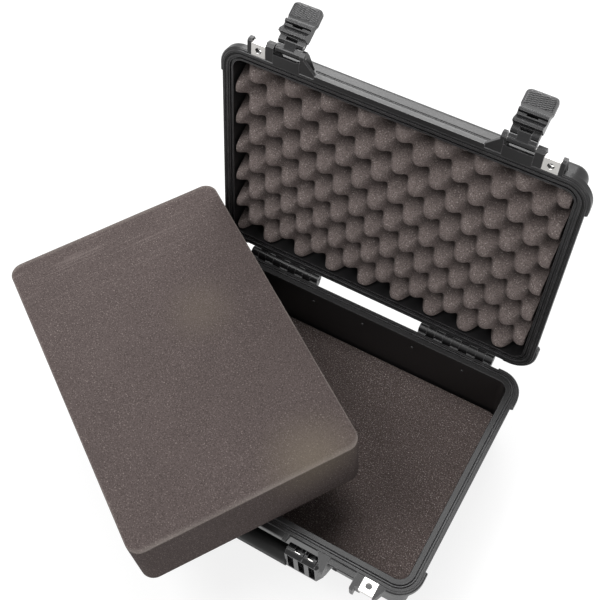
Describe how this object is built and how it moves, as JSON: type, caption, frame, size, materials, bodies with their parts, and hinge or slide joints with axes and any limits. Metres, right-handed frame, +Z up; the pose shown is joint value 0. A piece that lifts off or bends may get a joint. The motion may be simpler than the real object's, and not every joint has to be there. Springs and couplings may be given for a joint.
{
  "type": "microphone case",
  "caption": "Hard moulded carrying case for microphones with a hinged foam-lined lid, draw latches, a folding handle, padlock sleeves and a loose foam block lying on the open base.",
  "frame": {"origin": "centre of the underside of the base, on the surface that it stands on", "axes": "+X to the right seen from the handle side, +Y towards the hinges, +Z up"},
  "size_m": [0.6257, 0.5732, 0.4812],
  "materials": {
    "shell": "moulded, finely textured",
    "hardware": "moulded, satin",
    "rubber": "matt",
    "sleeve_steel": "stainless sheet, polished",
    "pin_steel": "plain",
    "foam": "open-cell foam",
    "pad_foam": "open-cell foam, dark"
  },
  "bodies": {
    "base": {"base_shell": "shell", "base_pad": "pad_foam", "hinge_pin_left": "pin_steel", "hinge_pin_right": "pin_steel", "lock_sleeve_base_left": "sleeve_steel", "lock_sleeve_base_right": "sleeve_steel", "handle_pin_left": "pin_steel", "handle_pin_right": "pin_steel", "vent_body": "hardware", "vent_cap": "hardware", "vent_seal": "rubber"},
    "lid": {"lid_shell": "shell", "lid_seal": "rubber", "lid_foam": "foam", "lock_sleeve_lid_left": "sleeve_steel", "lock_sleeve_lid_right": "sleeve_steel", "latch_pin_left": "pin_steel", "latch_pin_right": "pin_steel"},
    "link_left": {"latch_link_left": "hardware", "lever_pin_left": "pin_steel"},
    "link_right": {"latch_link_right": "hardware", "lever_pin_right": "pin_steel"},
    "lever_left": {"latch_lever_left": "hardware"},
    "lever_right": {"latch_lever_right": "hardware"},
    "handle": {"handle_frame": "hardware", "handle_grip": "rubber"},
    "block": {"foam_block": "foam"}
  },
  "joints": [
    {"name": "lid_hinge", "type": "hinge", "parent": "base", "child": "lid", "pos_m": [0, 0.1665, 0.12], "axis": [1, 0, 0], "range_deg": [0, 101]},
    {"name": "block_slide", "type": "slide", "parent": "base", "child": "block", "axis": [-0.5476, -0.8368, 0], "range_m": [0, 0.36]},
    {"name": "handle_fold", "type": "hinge", "parent": "base", "child": "handle", "pos_m": [0, -0.169, 0.102], "axis": [-1, 0, 0], "range_deg": [0, 90]},
    {"name": "link_hinge_left", "type": "hinge", "parent": "lid", "child": "link_left", "pos_m": [-0.141, 0.23863, 0.45438], "axis": [1, 0, 0], "range_deg": [0, 120]},
    {"name": "lever_hinge_left", "type": "hinge", "parent": "link_left", "child": "lever_left", "pos_m": [-0.141, 0.24622, 0.46236], "axis": [1, 0, 0], "range_deg": [0, 25]},
    {"name": "link_hinge_right", "type": "hinge", "parent": "lid", "child": "link_right", "pos_m": [0.141, 0.23863, 0.45438], "axis": [1, 0, 0], "range_deg": [0, 120]},
    {"name": "lever_hinge_right", "type": "hinge", "parent": "link_right", "child": "lever_right", "pos_m": [0.141, 0.24622, 0.46236], "axis": [1, 0, 0], "range_deg": [0, 25]}
  ],
  "couplings": [
    {"joint": "block_slide", "follows": "lid_hinge", "m_per_rad": 0.20139}
  ]
}
